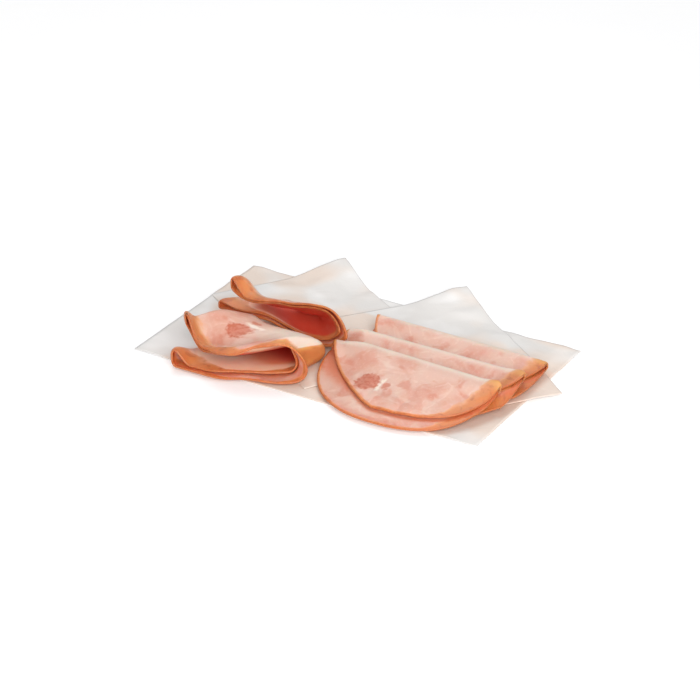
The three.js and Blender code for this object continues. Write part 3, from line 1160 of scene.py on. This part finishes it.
@dataclass
class BentSlice(HamSlice):
    """A folded slice that is bent once more, with the bend standing open to the front.

    Args:
        corner: Where the bend's outer line starts at the back.
        heading: The way that line runs to the front, in degrees.
        bend: The bend's radius at that corner and at the rim.
        bend_at: Where along the fold the bend is, from the fold's middle.
        bow: How far the bend's outer line bulges.
        topple: How far the bend leans out below its middle and in above it, per millimetre.
        rise: How far the slice climbs from the corner to the rim.
        tab_rind: How much wider the rind is on the bend's outer side.
        inner_fade: More than 1 narrows the rind on the inside face.
        rim_shadow_width: How wide the painted shadow under the upper layer's rim is,
        at the right and the left.
        flare_from: How far from the corner the bend starts to open to its radius at the rim.
        dark_reach: How far from the bend its inside has painted shade, on the lower and the
            upper arm.
        dark_rim: How far from the rim the painted shade of its inside starts, and is full.
        dark_core: Share of dark_reach where that painted shade is full.
        rind_ends: Where the rind starts to widen and is widest, as shares of the half crease.
        rind_bend: How far from the bend the wider rind round it starts to end and has ended.
        highlight_along: How far past the bend the painted highlight on its top starts, is full,
            starts to end and ends.
        highlight_behind: How far behind the fold that painted highlight starts and is full.
        tab_along: How far past the bend the wide rind starts, is full, starts to end and ends,
            below 0 on the lower arm.
        glow_from: How far behind the fold the painted glow of the inside starts and is full.
    """

    corner: tuple[float, float] = (0.0, 0.0)
    heading: float = 0.0
    bend: tuple[float, float] = (5.0, 10.0)
    bend_at: float = 0.0
    bow: float = 0.0
    topple: float = 0.0
    rise: float = 0.0
    tab_rind: float = 60.0
    inner_fade: float = 2.2
    rim_shadow_width: tuple[float, float] = (3.0, 3.0)
    flare_from: float = 0.0
    dark_reach: tuple[float, float] = (36.0, 76.0)
    dark_rim: tuple[float, float] = (1.5, 8.0)
    dark_core: float = 0.4
    rind_ends: tuple[float, float] = (0.6, 0.95)
    rind_bend: tuple[float, float] = (8.0, 34.0)
    highlight_along: tuple[float, float, float, float] = (1.0, 4.0, 14.0, 24.0)
    highlight_behind: tuple[float, float] = (16.0, 34.0)
    tab_along: tuple[float, float, float, float] = (-32.0, -22.0, -0.5, 5.0)
    glow_from: tuple[float, float] = (2.0, 10.0)

    def stations(self) -> tuple[float, float]:
        """Where the even middle stretch of columns begins and ends."""
        reach = self.bend[1] * math.pi / 2
        return self.bend_at - reach, self.bend_at + reach

    def lay(self, s: Array, t: Array, across: Array) -> Array:
        """Puts points of the folded slice where they lie.

        Args:
            s: Along the fold.
            t: Behind the fold.
            across: Off the middle of the two layers.

        Returns:
            The points.
        """
        angle = math.radians(self.heading)
        forward = np.array([math.cos(angle), math.sin(angle)])
        outward = np.array([-forward[1], forward[0]])
        b = s - self.bend_at
        under = b < 0
        length = self.half_crease - np.sign(b) * self.bend_at
        share = np.abs(b) / length
        a = t - np.where(under, self.lower.slant, self.upper.slant) * np.abs(b)
        reach = np.hypot(np.maximum(a, 0.0), b)
        opened = smoothstep(reach, self.flare_from, self.upper.depth)
        radius = between(self.bend[0], self.bend[1], opened)
        behind, beside, turn = hairpin(b, radius)
        bowed = self.bulge(a) * (1.0 - smoothstep(np.abs(b), *BOW_REACH))
        p = bowed - behind - self.topple * beside * self.open_share(a)
        front = a + self.corner_fall(s)
        plan = np.array(self.corner) + p[..., None] * outward + front[..., None] * forward
        climb = self.rise * smoothstep(reach, 0.0, self.lower.depth)
        z = HAM_FLOOR + climb + self.half_gap(s, t) + radius + beside
        for arm, chosen in ((self.lower, under), (self.upper, ~under)):
            droop = through_points(arm.droop, share) * smoothstep(t, 0.0, arm.depth / 2)
            z = z + np.where(chosen, through_points(arm.levels, share) + droop, 0.0)
        skin = np.concatenate([plan, z[..., None]], axis=-1)
        inward = -np.cos(turn)[..., None] * outward
        normal = np.concatenate([inward, -np.sin(turn)[..., None]], axis=-1)
        return skin + normal * across[..., None]

    def open_share(self, a: Array) -> Array:
        """How far the bend has opened, at a distance from the corner along it."""
        return smoothstep(a / self.upper.depth, 0.0, BOW_PEAK)

    def bulge(self, a: Array) -> Array:
        """How far the bend's outer line stands out, at a distance from the corner along it."""
        fall = 1.0 - smoothstep(a / self.upper.depth, BOW_PEAK, BOW_END)
        return self.bow * self.open_share(a) * fall

    def rind_share(self, s: Array) -> Array:
        """The rind is widest at both ends and round the bend.

        Args:
            s: Along the fold.

        Returns:
            How near its widest it is, from 0 to 1.
        """
        ends = smoothstep(np.abs(s) / self.half_crease, *self.rind_ends)
        bend = 1.0 - smoothstep(np.abs(s - self.bend_at), *self.rind_bend)
        return np.maximum(ends, 0.7 * bend)

    def painted_highlight(self, s: Array, d: Array) -> Array:
        """The painted highlight is strongest on the top beside the bend.

        Args:
            s: Along the fold.
            d: From the fold.

        Returns:
            How much painted highlight each point's outside face has, from 0 to 1.
        """
        beside = s - self.bend_at
        near = band(beside, self.highlight_along)
        return np.where(d < 0, near * smoothstep(-d, *self.highlight_behind), 0.0)

    def outer_rind(self, s: Array, d: Array, width: Array) -> Array:
        """The rind reaches far back on the bend's outer side.

        Args:
            s: Along the fold.
            d: From the fold.
            width: Of the rind on the inside face.

        Returns:
            Its width on the outside face.
        """
        beside = s - self.bend_at
        bend = band(beside, self.tab_along)
        return width + np.where(d < 0, self.tab_rind * bend, 0.0)

    def glow(self, s: Array, d: Array) -> Array:
        """Painted glow of light through the meat on each point: all over the inside of the bend."""
        return np.where(d > 0, smoothstep(d, *self.glow_from), 0.0)

    def hollow(self, s: Array, d: Array, rim: Array) -> Array:
        """The inside of the bend has painted shade, away from the rim.

        Args:
            s: Along the fold.
            d: From the fold.
            rim: How far each point is from the rim.

        Returns:
            How much painted shade each point's outside face has, from 0 to 1.
        """
        b = s - self.bend_at
        reach = np.where(b < 0, *self.dark_reach)
        near = 1.0 - smoothstep(np.abs(b) / reach, self.dark_core, 1.0)
        return np.where(d > 0, near * smoothstep(rim, *self.dark_rim), 0.0)


# ---------- Paper ----------
@dataclass
class DeliSheet:
    """A sheet of paper with one lifted corner, shaped by its own Geometry Nodes tree.

    Args:
        name: The CAD node that the sheet stands for.
        corner: The back corner.
        heading: The way its first edge runs, in degrees.
        size: Along and across that edge.
        level: Height of its underside.
        lift: How far the back corner stands up.
        lift_reach: Over what distance from the corner.
        edge_wander: How far its edges leave a straight line.
        finish: What the sheet is dressed in.
        steps: Strips of the mesh along and across.
        wander_turns: How fast the edges wander along and across, in radians per millimetre.
        wave_height: Of the free paper's slow waves.
        wave_scale: From one wave to the next, in metres.
        covered: Middle and half sizes, right and back, of the oval that the ham holds down.
        free_from: Where the waves start and are full, as shares of that oval's half sizes.
        warm_reach: How far from the ham the paper is warmer, by grease and painted reflection.
        oily_glow_reach: How far from the ham the paper has grease and a painted reflection of it.
    """

    name: str
    corner: tuple[float, float]
    heading: float
    size: tuple[float, float]
    level: float
    lift: float
    lift_reach: float
    edge_wander: float
    finish: PaperFinish
    steps: int = 120
    wander_turns: tuple[float, float] = (0.05, 0.08)
    wave_height: float = 1.6
    wave_scale: float = 0.03
    covered: tuple[float, float, float, float] = (2.0, -14.0, 112.0, 66.0)
    free_from: tuple[float, float] = (0.95, 1.5)
    warm_reach: float = 34.0
    oily_glow_reach: float = 6.0

    SOCKETS = (
        ("Length", 0.2),
        ("Width", 0.1),
        ("Lift", 0.0),
        ("Lift Reach", 0.05),
        ("Edge Wander", 0.0),
        ("Wave Height", 0.001),
        ("Thickness", 0.0003),
    )

    def tree(self, material: bpy.types.Material, shift: Array) -> bpy.types.GeometryNodeTree:
        """Builds the sheet's tree.

        Args:
            material: What the sheet is dressed in.
            shift: From the layout's middle to the frame's origin.

        Returns:
            The tree.
        """
        tree = bpy.data.node_groups.new(self.name + "_shape", "GeometryNodeTree")
        for name, value in self.SOCKETS:
            socket = tree.interface.new_socket(name, in_out="INPUT", socket_type="NodeSocketFloat")
            socket.default_value = value
        tree.interface.new_socket("Geometry", in_out="OUTPUT", socket_type="NodeSocketGeometry")
        g = Graph(tree)
        size = g.node("NodeGroupInput").outputs
        count = self.steps + 1
        inputs = {"Size X": size["Length"], "Size Y": size["Width"]}
        inputs |= {"Vertices X": count, "Vertices Y": count}
        grid = g.node("GeometryNodeMeshGrid", inputs)
        x, y, fall = self.plan(g, size, shift)
        z = g.math("ADD", g.math("ADD", fall, self.wave(g, x, y, size, shift)), self.level * MM)
        put = g.node("ShaderNodeCombineXYZ", {0: x, 1: y, 2: z}).outputs[0]
        laid = g.node("GeometryNodeSetPosition", {"Geometry": grid.outputs[0], "Position": put})
        inputs = {"Mesh": laid.outputs[0], "Offset": (0.0, 0.0, 1.0)}
        inputs |= {"Offset Scale": size["Thickness"], "Individual": False}
        raised = g.node("GeometryNodeExtrudeMesh", inputs, mode="FACES")
        turned = g.node("GeometryNodeFlipFaces", {0: laid.outputs[0]})
        joined = g.node("GeometryNodeJoinGeometry", {0: raised.outputs[0]})
        tree.links.new(turned.outputs[0], joined.inputs[0])
        inputs = {"Geometry": joined.outputs[0], "Distance": WELD * MM}
        merged = g.node("GeometryNodeMergeByDistance", inputs)
        whole = g.node("GeometryNodeRealizeInstances", {0: merged.outputs[0]})
        dressed = g.node(
            "GeometryNodeSetMaterial", {"Geometry": whole.outputs[0], "Material": material}
        )
        g.node("NodeGroupOutput", {0: dressed.outputs[0]})
        return tree

    def plan(self, g: Graph, size: Any, shift: Array) -> tuple[Any, Any, Any]:
        """Turns the grid to where the sheet lies, with wandering edges.

        Args:
            g: The tree's graph.
            size: The tree's own inputs.
            shift: From the layout's middle to the frame's origin.

        Returns:
            Sockets of the place to the right and to the back, and of the corner's lift there.
        """
        here = g.node("GeometryNodeInputPosition").outputs[0]
        place = g.node("ShaderNodeSeparateXYZ", {0: here}).outputs
        u = g.math("ADD", place[0], g.scaled(size["Length"], 0.5))
        v = g.math("SUBTRACT", g.scaled(size["Width"], 0.5), place[1])
        turns = [turn / MM for turn in self.wander_turns]
        phase = g.math("ADD", g.scaled(u, turns[0]), g.scaled(v, turns[1]))
        down = g.math("ADD", v, g.scaled(g.math("SINE", phase), size["Edge Wander"]))
        fall = g.node(
            "ShaderNodeMapRange",
            {0: g.hypotenuse(u, v), 1: 0.0, 2: size["Lift Reach"], 3: size["Lift"], 4: 0.0},
            interpolation_type="SMOOTHSTEP",
        ).outputs[0]
        angle = math.radians(self.heading)
        cos, sin = math.cos(angle), math.sin(angle)
        x0, y0 = ((self.corner[k] + shift[k]) * MM for k in (0, 1))
        x = g.math("ADD", g.math("ADD", g.scaled(u, cos), g.scaled(down, sin)), x0)
        y = g.math("ADD", g.math("SUBTRACT", g.scaled(u, sin), g.scaled(down, cos)), y0)
        return x, y, fall

    def wave(self, g: Graph, x: Any, y: Any, size: Any, shift: Array) -> Any:
        """Slow waves of the paper, where no ham holds it down.

        Args:
            g: The tree's graph.
            x: Socket of the place to the right.
            y: Socket of the place to the back.
            size: The tree's own inputs.
            shift: From the layout's middle to the frame's origin.

        Returns:
            The socket of their height there.
        """
        flat = g.node("ShaderNodeCombineXYZ", {0: x, 1: y}).outputs[0]
        swell = g.noise(flat, 1.0 / self.wave_scale, 1.0)
        middle_x, middle_y, half_x, half_y = self.covered
        off_x = g.math("SUBTRACT", x, (middle_x + shift[0]) * MM)
        off_y = g.math("SUBTRACT", y, (middle_y + shift[1]) * MM)
        off_x = g.math("DIVIDE", off_x, half_x * MM)
        off_y = g.math("DIVIDE", off_y, half_y * MM)
        free = g.spread(g.hypotenuse(off_x, off_y), *self.free_from)
        return g.scaled(g.scaled(g.spread(swell, 0.42, 0.75), free), size["Wave Height"])

    def build(self, shift: Array) -> bpy.types.Object:
        """Makes the sheet.

        Args:
            shift: From the layout's middle to the frame's origin.

        Returns:
            The piece.
        """
        material = self.finish.material(self.name + "_finish")
        tree = self.tree(material, shift)
        maker = new_object(self.name + "_maker", bpy.data.meshes.new(self.name + "_start"))
        modifier = maker.modifiers.new("shape", "NODES")
        modifier.node_group = tree
        sizes = {
            "Length": self.size[0],
            "Width": self.size[1],
            "Lift": self.lift,
            "Lift Reach": self.lift_reach,
            "Edge Wander": self.edge_wander,
            "Wave Height": self.wave_height,
            "Thickness": PAPER_THICKNESS,
        }
        for item in tree.interface.items_tree:
            if item.in_out == "INPUT":
                modifier[item.identifier] = sizes[item.name] * MM
        depsgraph = bpy.context.evaluated_depsgraph_get()
        mesh = bpy.data.meshes.new_from_object(maker.evaluated_get(depsgraph))
        bpy.data.objects.remove(maker)
        mesh.name = self.name + "_paper"
        mesh.shade_smooth()
        return new_object(self.name + "_paper", mesh)

    def dress(self, piece: bpy.types.Object, ham: Array) -> None:
        """Marks grease and painted reflection near the ham; gives the paper its place in the frame.

        Args:
            piece: The sheet.
            ham: Plan points of the slices, in metres.
        """
        plan = mesh_points(piece.data)[:, :2]
        gap = np.full(len(plan), np.inf)
        for part in np.array_split(ham, NEAREST_PARTS):
            off = plan[:, None] - part[None, :]
            gap = np.minimum(gap, np.hypot(off[..., 0], off[..., 1]).min(axis=1))
        for mark, reach in ((Mark.WARM, self.warm_reach), (Mark.OILY_GLOW, self.oily_glow_reach)):
            keep_numbers(piece.data, mark, 1.0 - smoothstep(gap / MM, 0.0, reach))
        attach(piece, BODY)
        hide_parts(self.name)


# ---------- The whole layout ----------
@dataclass
class Layout:
    """The ham and its paper, with the sizes that the frame also has.

    Args:
        under_corner: Back corner of the lowest sheet.
        under_size: Along and across the lowest sheet.
    """

    under_corner: tuple[float, float] = (-127.0, 78.0)
    under_size: tuple[float, float] = (254.0, 146.0)

    def shift(self) -> Array:
        """Reads off the lowest sheet where the frame has the layout.

        Returns:
            From the layout's middle to the frame's origin.
        """
        low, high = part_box("deli_sheet_under")
        x, y = self.under_corner
        return np.array([low.x / MM - x, high.y / MM - y, 0.0])

    def sheets(self) -> list[DeliSheet]:
        """Sizes the three sheets of paper.

        Returns:
            The sheets, from the lowest up.
        """
        return [
            DeliSheet(
                "deli_sheet_under", self.under_corner, 0.0, self.under_size,
                0.0, 0.0, 30.0, 0.0, PaperFinish(0.0),
            ),
            DeliSheet(
                "deli_sheet_left", (-70.0, 108.0), -34.0, (150.0, 100.0),
                SHEET_PITCH, 7.0, 46.0, 1.2, PaperFinish(0.4),
            ),
            DeliSheet(
                "deli_sheet_right", (24.0, 112.0), -38.0, (152.0, 112.0),
                2 * SHEET_PITCH, 6.0, 50.0, 1.0, PaperFinish(0.9),
            ),
        ]

    def flat_slices(self) -> list[FlatSlice]:
        """Sizes the three slices that lie like shingles.

        Returns:
            The slices, from the back and lowest one.
        """
        back = FlatSlice(
            "ham_slice_right_back", 64.0,
            Layer(76.0, (2.1, 3.0), lean=9.0), Layer(57.0, (1.6, 2.2)),
            4.0, LAYER_PITCH, 22.0, HamFinish(3.1),
            end_loop=(0.0, -2.2), end_round=(2.5, 3.0), end_lift=(0.0, 3.0),
            middle_at=(59.5, 39.6), turn=-1.5,
        )
        middle = FlatSlice(
            "ham_slice_right_middle", 66.0,
            Layer(66.0, (2.0, 2.7), lean=8.0), Layer(54.0, (2.0, 2.2)),
            3.4, LAYER_PITCH, 20.0, HamFinish(5.4),
            end_loop=(0.0, -1.8), end_lift=(0.0, 2.0),
            middle_at=(56.0, 12.0), turn=-0.8, beneath=[back],
        )
        front = FlatSlice(
            "ham_slice_right_front", 64.0,
            Layer(68.0, (2.0, 2.5)), Layer(57.0, (1.3, 2.4)),
            3.4, LAYER_PITCH + 0.6, 26.0, HamFinish(1.2, RoundMuscle((-15.9, 36.2), 0.0)),
            end_loop=(0.0, -1.8), end_lift=(0.0, 1.6),
            middle_at=(54.6, -12.0), turn=-3.0, beneath=[back, middle],
        )
        return [back, middle, front]

    def bent_slices(self) -> list[BentSlice]:
        """Sizes the two slices that are folded twice.

        Returns:
            The slices, from the front one.
        """
        front = BentSlice(
            "ham_slice_left_front", 66.0,
            Layer(72.0, (1.45, 2.2), (8.0, 12.0), slant=-0.06),
            Layer(
                61.0, (1.5, 2.3), (6.0, 12.0), slant=0.12,
                levels=(0.0, 5.0, 9.5, 7.0, -1.6), droop=(0.0, -4.5, -11.0, -13.5, -12.0),
            ),
            1.7, LAYER_PITCH + 0.7, 14.0,
            HamFinish(7.7, RoundMuscle((34.0, -19.1), 180.0, 6.0, 8.2, 6.0, 11.2, -3.0, 2.4)),
            end_loop=(4.0, 2.4), end_round=(10.0, 8.0), rind=(1.8, 14.0), dark_rim=(3.0, 12.0),
            corner=(-64.0, -15.5), heading=-33.0, bend=(5.5, 12.0), flare_from=44.0,
            bend_at=8.0, bow=25.0, topple=0.35,
        )
        back = BentSlice(
            "ham_slice_left_back", 68.0,
            Layer(
                64.0, (1.1, 1.1), (8.0, 16.0), slant=0.3,
                levels=(0.0, 0.8, 6.9, 4.0), droop=(0.0, -1.5, 0.0, 0.0),
            ),
            Layer(
                56.0, (1.1, 1.1), (8.0, 16.0), slant=0.12,
                levels=(0.0, -1.0, -2.0, -6.5, -8.3, 0.2, 1.2),
                droop=(0.0, 2.0, 4.7, 7.5, 8.4, -2.4, -13.0),
            ),
            1.7, LAYER_PITCH + 0.5, 14.0, HamFinish(9.3, deep=paint(212, 80, 60)),
            end_loop=(0.8, 2.5), end_round=(6.0, 8.0), rind=(1.8, 12.0),
            corner=(-46.6, 31.3), heading=-41.5, bend=(1.8, 11.7), bend_at=2.4, rise=3.0,
            dark_reach=(62.0, 90.0),
        )
        return [front, back]

    def build(self) -> None:
        """Makes and dresses every piece, the ham first because the paper reads where it lies."""
        shift = self.shift()
        plans = []
        for ham in (*self.flat_slices(), *self.bent_slices()):
            piece = ham.build(shift)
            ham.dress(piece)
            plans.append(mesh_points(piece.data)[::PLAN_STRIDE, :2])
            log.info("%s: %d faces", piece.name, len(piece.data.polygons))
        for sheet in self.sheets():
            piece = sheet.build(shift)
            sheet.dress(piece, np.concatenate(plans))
            log.info("%s: %d faces", piece.name, len(piece.data.polygons))


# ---------- The studio ----------
@dataclass(frozen=True)
class Studio:
    """A pale floor, soft lights and a camera at the photograph's angle.

    Args:
        target: What the camera looks at, in the layout's own millimetres.
        azimuth: Of the camera, in degrees from the front towards the right.
        elevation: Of the camera, in degrees.
        distance: From the camera to its target.
        focal: In the photograph's pixels.
        picture: Width of the photograph in pixels.
        sensor: Width of the camera's sensor.
        sight: How far the camera sees, in metres.
        floor_drop: How far the floor is below the paper.
        floor_side: Width of the floor, in metres.
        floor_shine: How much light the floor gives of itself.
        floor_tones: Its lighter and its greyer patches.
        air: Strength of the even light from all round.
        window: Place and width in metres, and watts, of the light from the back left.
        fill: The same of the light from the front right.
    """

    target: tuple[float, float, float] = (-4.43, 3.05, 0.0)
    azimuth: float = 30.52
    elevation: float = 27.59
    distance: float = 1640.5
    focal: float = 2500.0
    picture: float = 700.0
    sensor: float = 36.0
    sight: float = 50.0
    floor_drop: float = 0.4
    floor_side: float = 9.0
    floor_shine: float = 0.12
    floor_tones: tuple = (paint(250, 250, 250), paint(246, 246, 247))
    air: float = 0.5
    window: tuple = ((-0.7, 0.8, 1.9), 1.2, 11.0)
    fill: tuple = ((1.2, -1.45, 0.95), 1.5, 46.0)

    def camera(self, shift: Array) -> None:
        """Puts the camera where the photograph was taken from.

        Args:
            shift: From the layout's middle to the frame's origin.
        """
        data = bpy.data.cameras.new("photo_camera")
        data.sensor_width = self.sensor
        data.lens = self.focal / self.picture * self.sensor
        data.clip_end = self.sight
        camera = new_object("photo_camera", data)
        turn, lift = math.radians(self.azimuth), math.radians(self.elevation)
        level = math.cos(lift)
        back = Vector((math.sin(turn) * level, -math.cos(turn) * level, math.sin(lift)))
        target = Vector(self.target) + Vector(shift)
        camera.location = (target + back * self.distance) * MM
        camera.rotation_euler = back.to_track_quat("Z", "Y").to_euler()
        bpy.context.scene.camera = camera

    def floor(self) -> None:
        """Lays a plain pale floor just under the paper."""
        half = self.floor_side / 2
        corners = [(-half, -half), (half, -half), (half, half), (-half, half)]
        mesh = bpy.data.meshes.new("studio_floor")
        mesh.from_pydata([(x, y, -self.floor_drop * MM) for x, y in corners], [], [(0, 1, 2, 3)])
        floor = new_object("studio_floor", mesh)
        made, g = new_material("studio_floor_finish")
        tone = g.mix(g.noise(g.object_place(), 6.0), *self.floor_tones)
        shine = {"Emission Color": tone, "Emission Strength": self.floor_shine}
        g.end_material({"Base Color": tone, "Roughness": 0.8, **shine})
        mesh.materials.append(made)

    def lamp(self, name: str, place: tuple[float, ...], side: float, watts: float) -> None:
        """Hangs a square soft light that faces the ham.

        Args:
            name: The light's name.
            place: Where it hangs, in metres.
            side: How wide it is, in metres.
            watts: How strong it is.
        """
        data = bpy.data.lights.new(name, "AREA")
        data.shape = "SQUARE"
        data.size = side
        data.energy = watts
        lamp = new_object(name, data)
        lamp.location = place
        lamp.rotation_euler = Vector(place).to_track_quat("Z", "Y").to_euler()

    def build(self, shift: Array) -> None:
        """Sets up the camera, the floor and the lights.

        Args:
            shift: From the layout's middle to the frame's origin.
        """
        self.camera(shift)
        self.floor()
        self.lamp("window_light", *self.window)
        self.lamp("front_fill", *self.fill)
        world = bpy.data.worlds.new("studio_air")
        world.use_nodes = True
        g = Graph(world.node_tree)
        inputs = {"Color": paint(255, 255, 255), "Strength": self.air}
        air = g.node("ShaderNodeBackground", inputs)
        g.node("ShaderNodeOutputWorld", {0: air.outputs[0]})
        bpy.context.scene.world = world
        bpy.context.scene.view_settings.view_transform = "Standard"


def main() -> None:
    """Builds the studio, then the paper and the ham."""
    logging.basicConfig(level=logging.INFO)
    layout = Layout()
    Studio().build(layout.shift())
    layout.build()


if __name__ == "__main__":
    main()
